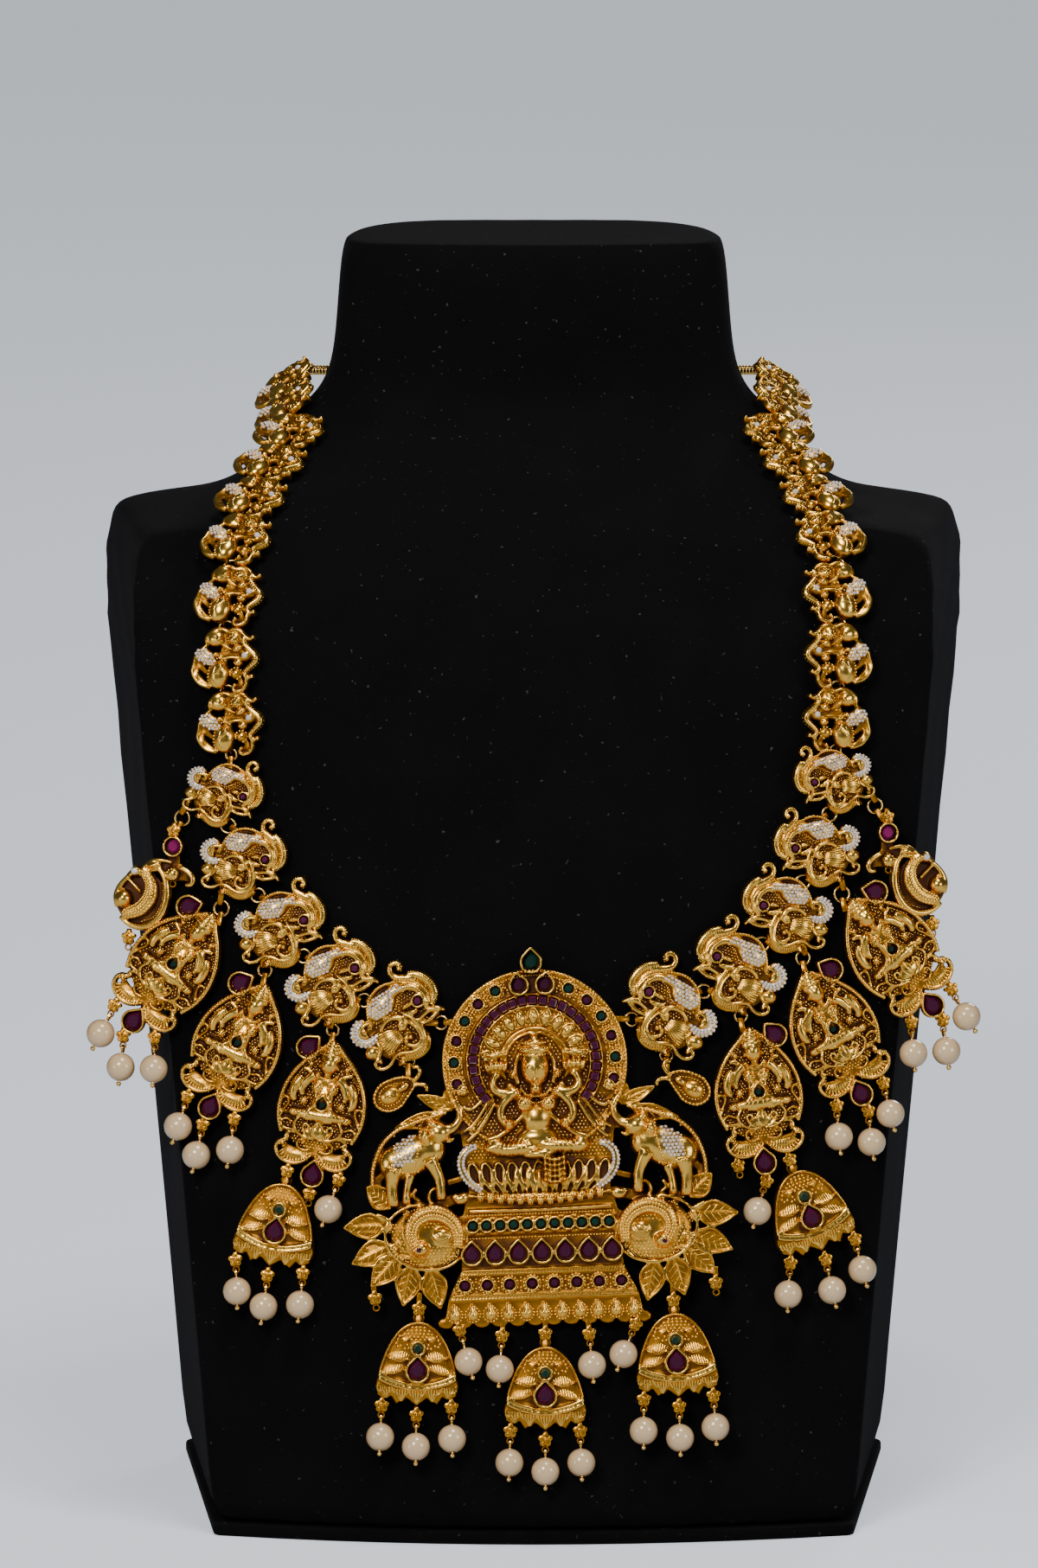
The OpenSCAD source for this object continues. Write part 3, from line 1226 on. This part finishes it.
// Everything that hangs: the casting whose plane it shares, and its list of flowers
drops_left = [for (i = [0 : 2]) figure_drops(figures_left[i], -1, figure_hang_left[i])];
drops_right = [for (i = [0 : 2]) figure_drops(figures_right[i], 1, figure_hang_right[i])];
bell_1 = bell_row(drops_left[2][0]);
bell_2 = bell_row(main_drops[0]);
bell_3 = bell_row(main_drops[1]);
bell_4 = bell_row(main_drops[2]);
bell_5 = bell_row(drops_right[2][0]);
bells = [
  [figures_left[2], bell_1, bell_drops(bell_1, 12)], [main_row, bell_2, bell_drops(bell_2)],
  [main_row, bell_3, bell_drops(bell_3)], [main_row, bell_4, bell_drops(bell_4)],
  [figures_right[2], bell_5, bell_drops(bell_5, -14)]
];
hung_left = concat([for (i = [0 : 2]) [figures_left[i], drops_left[i]]], [[bells[0][0], bells[0][2]]]);
hung_centre = concat([[main_row, main_drops]], [for (i = [1 : 3]) [bells[i][0], bells[i][2]]]);
hung_right = concat([for (i = [0 : 2]) [figures_right[i], drops_right[i]]], [[bells[4][0], bells[4][2]]]);

module pearls(hung) {
  color("ivory")
    for (h = hung)
      for (d = h[1])
        if (d[3] > 0)
          pearl(h[0], d);
}

module head_pins(hung) {
  color("goldenrod")
    for (h = hung)
      for (d = h[1])
        if (d[3] > 0)
          head_pin(h[0], d);
}

module bell(b) {
  color("goldenrod") {
    at_casting(b[0], b[1])
      bell_casting();
    host_flowers(b[0], b[2]);
  }
}

module peacock_eyes() {
  color("darkred") {
    for (r = peacocks_left)
      peacock_eye(r, -1);
    for (r = peacocks_right)
      peacock_eye(r, 1);
  }
}

module all_figure_rubies() {
  color("darkred") {
    for (r = figures_left)
      figure_rubies(r, -1);
    for (r = figures_right)
      figure_rubies(r, 1);
  }
}

module all_figure_emeralds() {
  color("darkgreen") {
    for (r = figures_left)
      figure_emerald_stone(r, -1);
    for (r = figures_right)
      figure_emerald_stone(r, 1);
  }
}

module bell_rubies() {
  color("darkred")
    for (b = bells)
      at_casting(b[0], b[1])
        translate([0, 0, 3.5 + clearance])
          pear_stone(bell_ruby);
}

module bell_emeralds() {
  color("darkgreen")
    for (b = bells)
      at_casting(b[0], b[1])
        translate([0, 5.6 * bell_width / bell_grid, 3.5 + clearance])
          round_stone(bell_emerald);
}

module connector_rubies() {
  color("darkred") {
    connector_stone(side_left, -1);
    connector_stone(side_right, 1);
  }
}

// Bust: one rounded section for each row, from the front panel round the side return to the flat back
front_parts = 12;
function right_half(w, y, f, c, b) = concat(
  [for (a = [22.5 : 22.5 : 90]) [w - c + c * sin(a), y[0] + c - c * cos(a)]],
  [for (a = [0 : 30 : 90]) [w + f - b + b * cos(a), y[1] - b + b * sin(a)]]
);
function section(r) = let (
    w = r[1] * half_shoulder,
    c = r[5] * half_shoulder,
    b = r[6] * half_shoulder,
    f = r[4] * side_flare,
    x = w - c,
    y = [r[2] * bust_depth + x * x / (2 * front_radius), r[3] * bust_depth],
    right = right_half(w, y, f, c, b),
    wide = w + f - b
  ) [
    for (i = [0 : front_parts]) let (s = x * (2 * i / front_parts - 1)) [s, r[2] * bust_depth + s * s / (2 * front_radius)],
    for (q = right) q,
    for (s = [0.5, 0, -0.5]) [s * wide, y[1]],
    for (i = [0 : len(right) - 1]) let (q = right[len(right) - 1 - i]) [-q[0], q[1]]
  ];

module bust_body() {
  n = len(section(bust_rows[0]));
  last = len(bust_rows) - 1;
  points = [for (r = bust_rows) for (q = section(r)) [q[0], q[1] - middle, row_z(r)]];
  sides = [
    for (i = [0 : last - 1])
      for (j = [0 : n - 1])
        let (a = i * n + j, b = i * n + (j + 1) % n)
          for (t = [[a, a + n, b + n], [a, b + n, b]]) t
  ];
  color("black")
    polyhedron(
      points = points,
      faces = concat([[for (j = [0 : n - 1]) j]], sides, [[for (j = [0 : n - 1]) last * n + n - 1 - j]])
    );
}

module bust_base() {
  color("black")
    translate([0, -middle, 0])
      linear_extrude(board_thickness)
        polygon(section(bust_rows[0]));
}

module chain_left() {
  color("goldenrod")
    chain(frames_left, -1);
}

module chain_right() {
  color("goldenrod")
    chain(frames_right, 1);
}

module chain_rings_left() {
  color("goldenrod")
    chain_rings(frames_left);
}

module chain_rings_right() {
  color("goldenrod")
    chain_rings(frames_right);
}

bust_body();
bust_base();
back_chain_left();
back_chain_right();
chain_left();
chain_right();
chain_rings_left();
chain_rings_right();
joint_rings_left();
joint_rings_right();
peacock_link(peacocks_left[0], -1, link_eyes(joints_left, 0));  // peacock_left_1
peacock_link(peacocks_left[1], -1, link_eyes(joints_left, 1));  // peacock_left_2
peacock_link(peacocks_left[2], -1, link_eyes(joints_left, 2));  // peacock_left_3
peacock_link(peacocks_left[3], -1, link_eyes(joints_left, 3));  // peacock_left_4
peacock_link(peacocks_left[4], -1, link_eyes(joints_left, 4));  // peacock_left_5
peacock_link(peacocks_right[0], 1, link_eyes(joints_right, 0));  // peacock_right_1
peacock_link(peacocks_right[1], 1, link_eyes(joints_right, 1));  // peacock_right_2
peacock_link(peacocks_right[2], 1, link_eyes(joints_right, 2));  // peacock_right_3
peacock_link(peacocks_right[3], 1, link_eyes(joints_right, 3));  // peacock_right_4
peacock_link(peacocks_right[4], 1, link_eyes(joints_right, 4));  // peacock_right_5
figure_pendant(figures_left[0], -1, [[joints_left[7], -1]], drops_left[0]);  // figure_left_1
figure_pendant(figures_left[1], -1, [[joints_left[8], -1]], drops_left[1]);  // figure_left_2
figure_pendant(figures_left[2], -1, [[joints_left[9], -1]], drops_left[2]);  // figure_left_3
figure_pendant(figures_right[0], 1, [[joints_right[7], -1]], drops_right[0]);  // figure_right_1
figure_pendant(figures_right[1], 1, [[joints_right[8], -1]], drops_right[1]);  // figure_right_2
figure_pendant(figures_right[2], 1, [[joints_right[9], -1]], drops_right[2]);  // figure_right_3
side_peacock(side_left, -1, joints_left[6]);  // side_peacock_left
side_peacock(side_right, 1, joints_right[6]);  // side_peacock_right
paisley(paisley_left, -1, joints_left[10]);
paisley(paisley_right, 1, joints_right[10]);
main_pendant();
bell(bells[0]);  // bell_left
bell(bells[1]);  // bell_lower_left
bell(bells[2]);  // bell_centre
bell(bells[3]);  // bell_lower_right
bell(bells[4]);  // bell_right
pearls(hung_left);  // pearls_left
pearls(hung_centre);  // pearls_centre
pearls(hung_right);  // pearls_right
head_pins(hung_left);  // head_pins_left
head_pins(hung_centre);  // head_pins_centre
head_pins(hung_right);  // head_pins_right
main_rubies();
main_emeralds();
peacock_eyes();
all_figure_rubies();  // figure_rubies
all_figure_emeralds();  // figure_emeralds
bell_rubies();
bell_emeralds();
connector_rubies();
